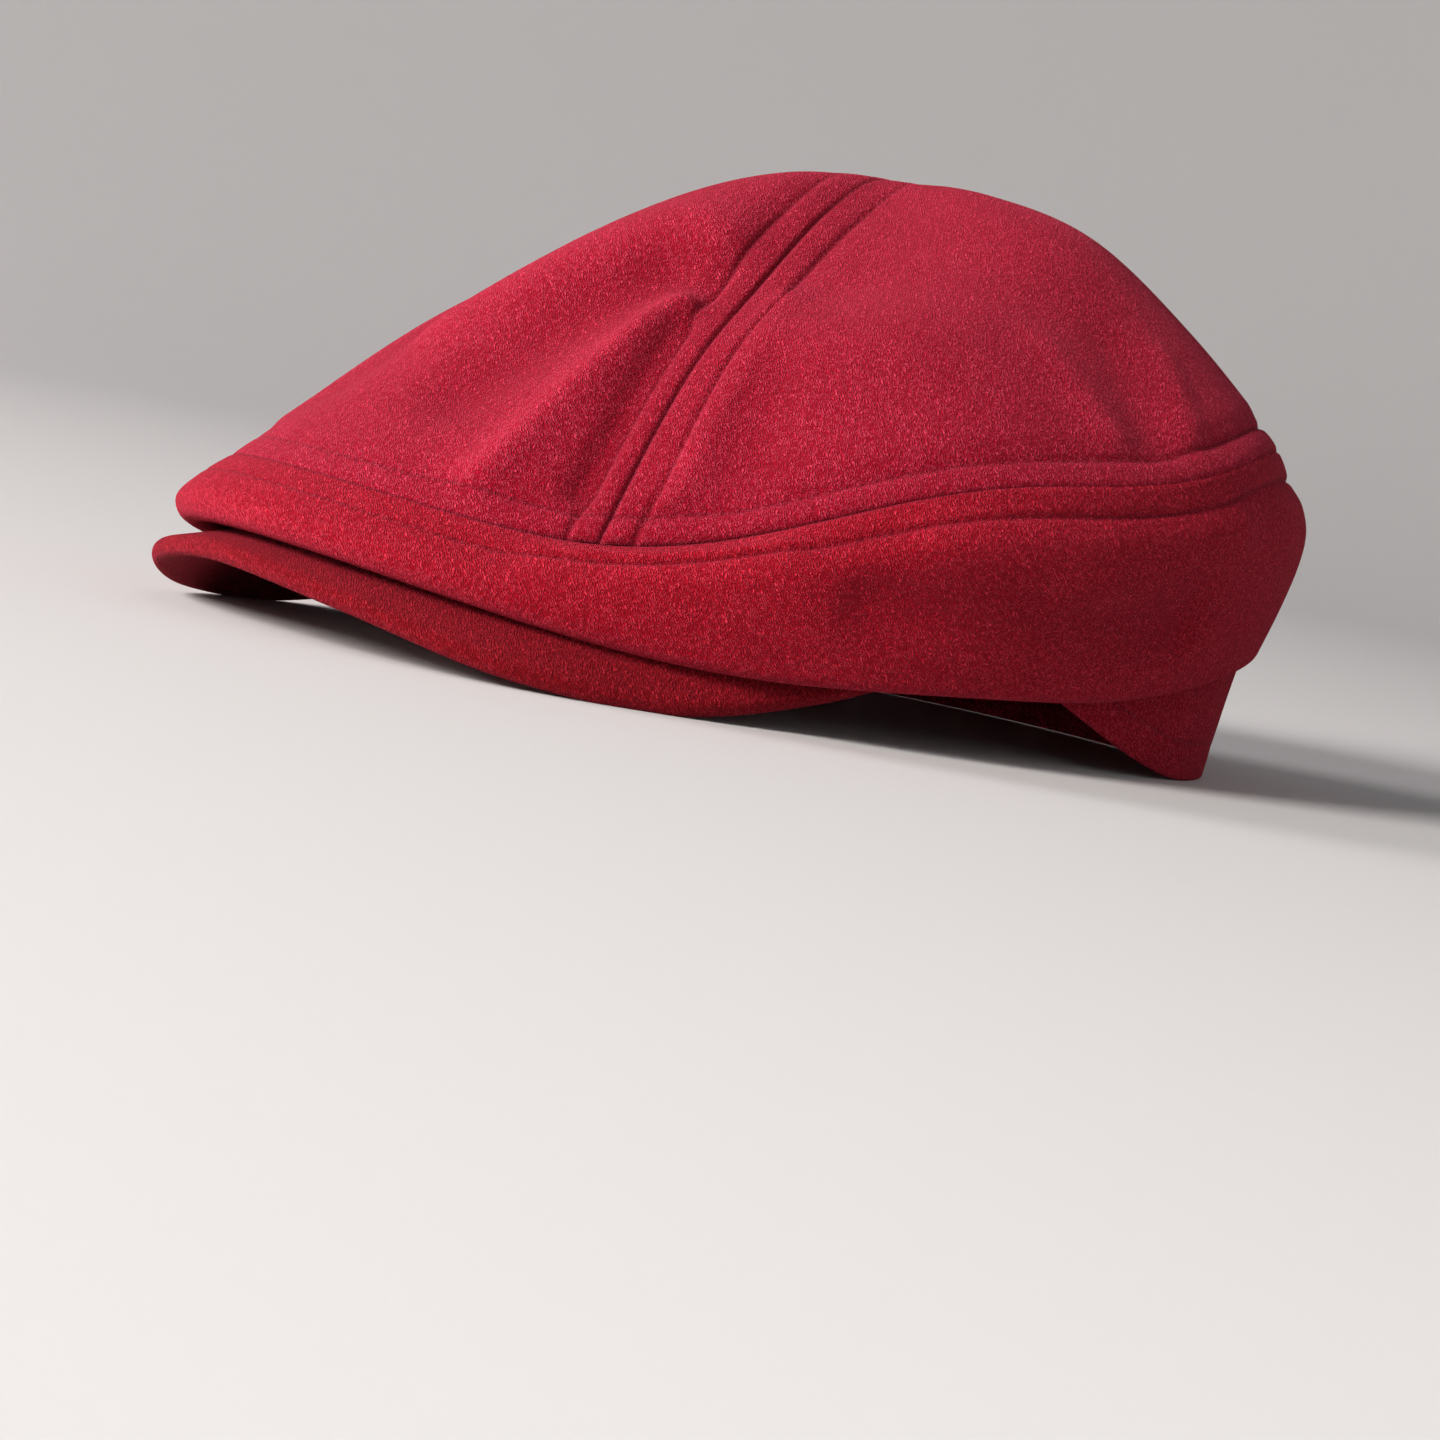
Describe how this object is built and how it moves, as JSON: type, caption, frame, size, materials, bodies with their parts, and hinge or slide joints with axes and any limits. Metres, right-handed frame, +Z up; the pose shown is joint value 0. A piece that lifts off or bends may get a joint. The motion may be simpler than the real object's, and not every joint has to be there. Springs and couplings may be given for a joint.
{
  "type": "flat cap with short peak",
  "caption": "Soft cloth flat cap: panelled crown over a puffy side band that rolls over a short arched peak, with a deep tucked nape and an open head hollow.",
  "frame": {"origin": "on the table, under the middle of the cap's bounding box", "axes": "-Y to the front of the cap, where the peak is, +X to the wearer's left, +Z up"},
  "size_m": [0.1968, 0.259, 0.1135],
  "materials": {
    "crown_suede": "brushed faux suede in crimson, short curly nap with a pink sheen",
    "band_suede": "brushed faux suede in crimson, short curly nap, topstitched along its seam",
    "peak_suede": "brushed faux suede in crimson drawn over a stiff board"
  },
  "bodies": {
    "root": {"front_top_panel": "crown_suede", "rear_left_top_panel": "crown_suede", "rear_right_top_panel": "crown_suede", "side_band": "band_suede", "peak": "peak_suede"}
  },
  "joints": []
}
